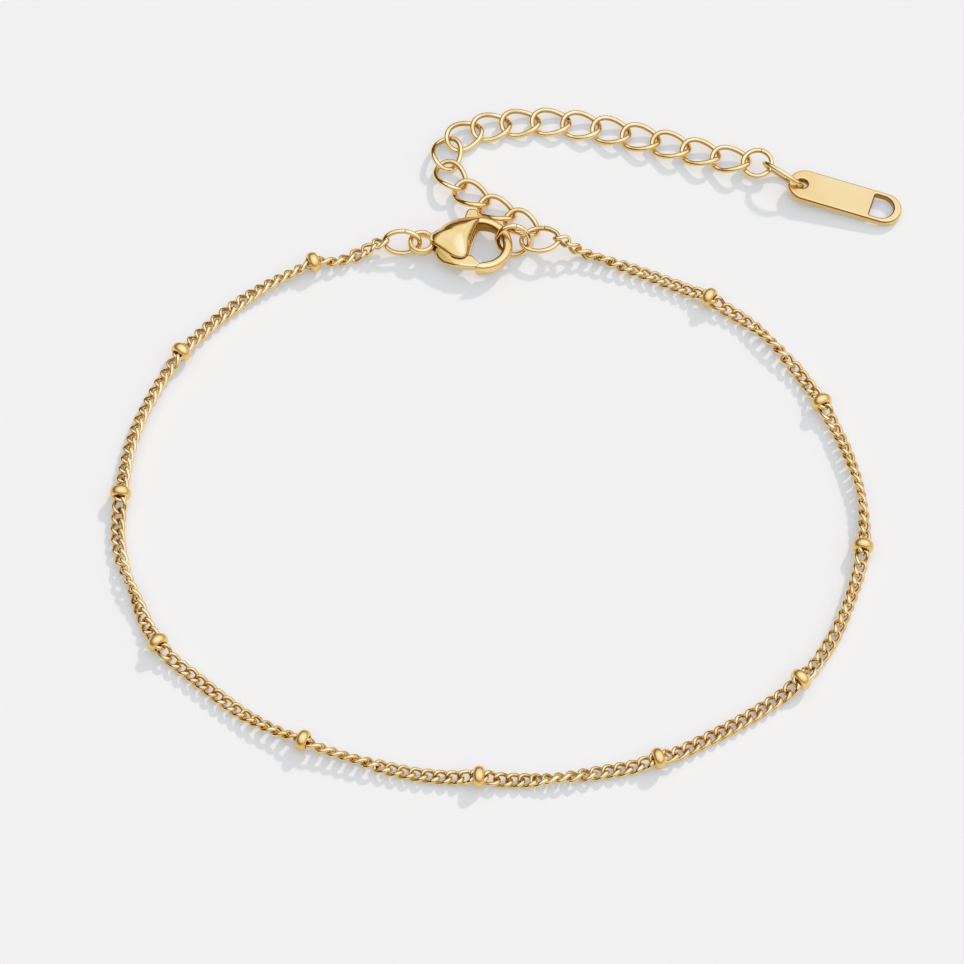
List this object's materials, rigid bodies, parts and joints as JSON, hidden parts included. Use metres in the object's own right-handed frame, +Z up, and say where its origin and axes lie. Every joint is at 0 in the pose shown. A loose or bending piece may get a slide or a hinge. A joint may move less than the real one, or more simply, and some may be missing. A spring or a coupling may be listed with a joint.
{
  "type": "anklet",
  "caption": "Gold-coloured beaded curb-chain anklet lying closed in a loop, fastened by a lobster clasp, with an extender chain that ends in a flat tag.",
  "frame": {"origin": "on the surface the anklet lies on, under the middle of its outer box", "axes": "+X from the clasp's tail end towards the extender's tag side, +Y from the loop's near side towards the clasp, +Z up from the surface"},
  "size_m": [0.0805, 0.0808, 0.0035],
  "materials": {
    "polished_gold": "polished yellow gold plate on stainless steel",
    "satin_gold": "softly polished yellow gold plate on stainless steel"
  },
  "bodies": {
    "anklet": {"chain_span_01": "polished_gold", "chain_span_02": "polished_gold", "chain_span_03": "polished_gold", "chain_span_04": "polished_gold", "chain_span_05": "polished_gold", "chain_span_06": "polished_gold", "chain_span_07": "polished_gold", "chain_span_08": "polished_gold", "chain_span_09": "polished_gold", "chain_span_10": "polished_gold", "chain_span_11": "polished_gold", "chain_span_12": "polished_gold", "bead_01": "polished_gold", "bead_02": "polished_gold", "bead_03": "polished_gold", "bead_04": "polished_gold", "bead_05": "polished_gold", "bead_06": "polished_gold", "bead_07": "polished_gold", "bead_08": "polished_gold", "bead_09": "polished_gold", "bead_10": "polished_gold", "bead_11": "polished_gold", "jump_ring_left": "polished_gold", "clasp_body": "satin_gold", "catch_ring": "polished_gold", "jump_ring_right": "polished_gold", "extender_link_01": "polished_gold", "extender_link_02": "polished_gold", "extender_link_03": "polished_gold", "extender_link_04": "polished_gold", "extender_link_05": "polished_gold", "extender_link_06": "polished_gold", "extender_link_07": "polished_gold", "extender_link_08": "polished_gold", "extender_link_09": "polished_gold", "extender_link_10": "polished_gold", "extender_link_11": "polished_gold", "extender_link_12": "polished_gold", "extender_link_13": "polished_gold", "extender_link_14": "polished_gold", "extender_link_15": "polished_gold", "extender_end_ring": "polished_gold", "tag_ring": "polished_gold", "end_tag": "satin_gold"},
    "lever": {"clasp_lever": "satin_gold"}
  },
  "joints": [
    {"name": "clasp_lever_hinge", "type": "hinge", "parent": "anklet", "child": "lever", "pos_m": [-0.0069, 0.02244, 0.0015], "axis": [0, 0, 1], "range_deg": [0, 25], "stiffness_Nm_per_rad": 0.00004, "springref_deg": -11.46}
  ]
}
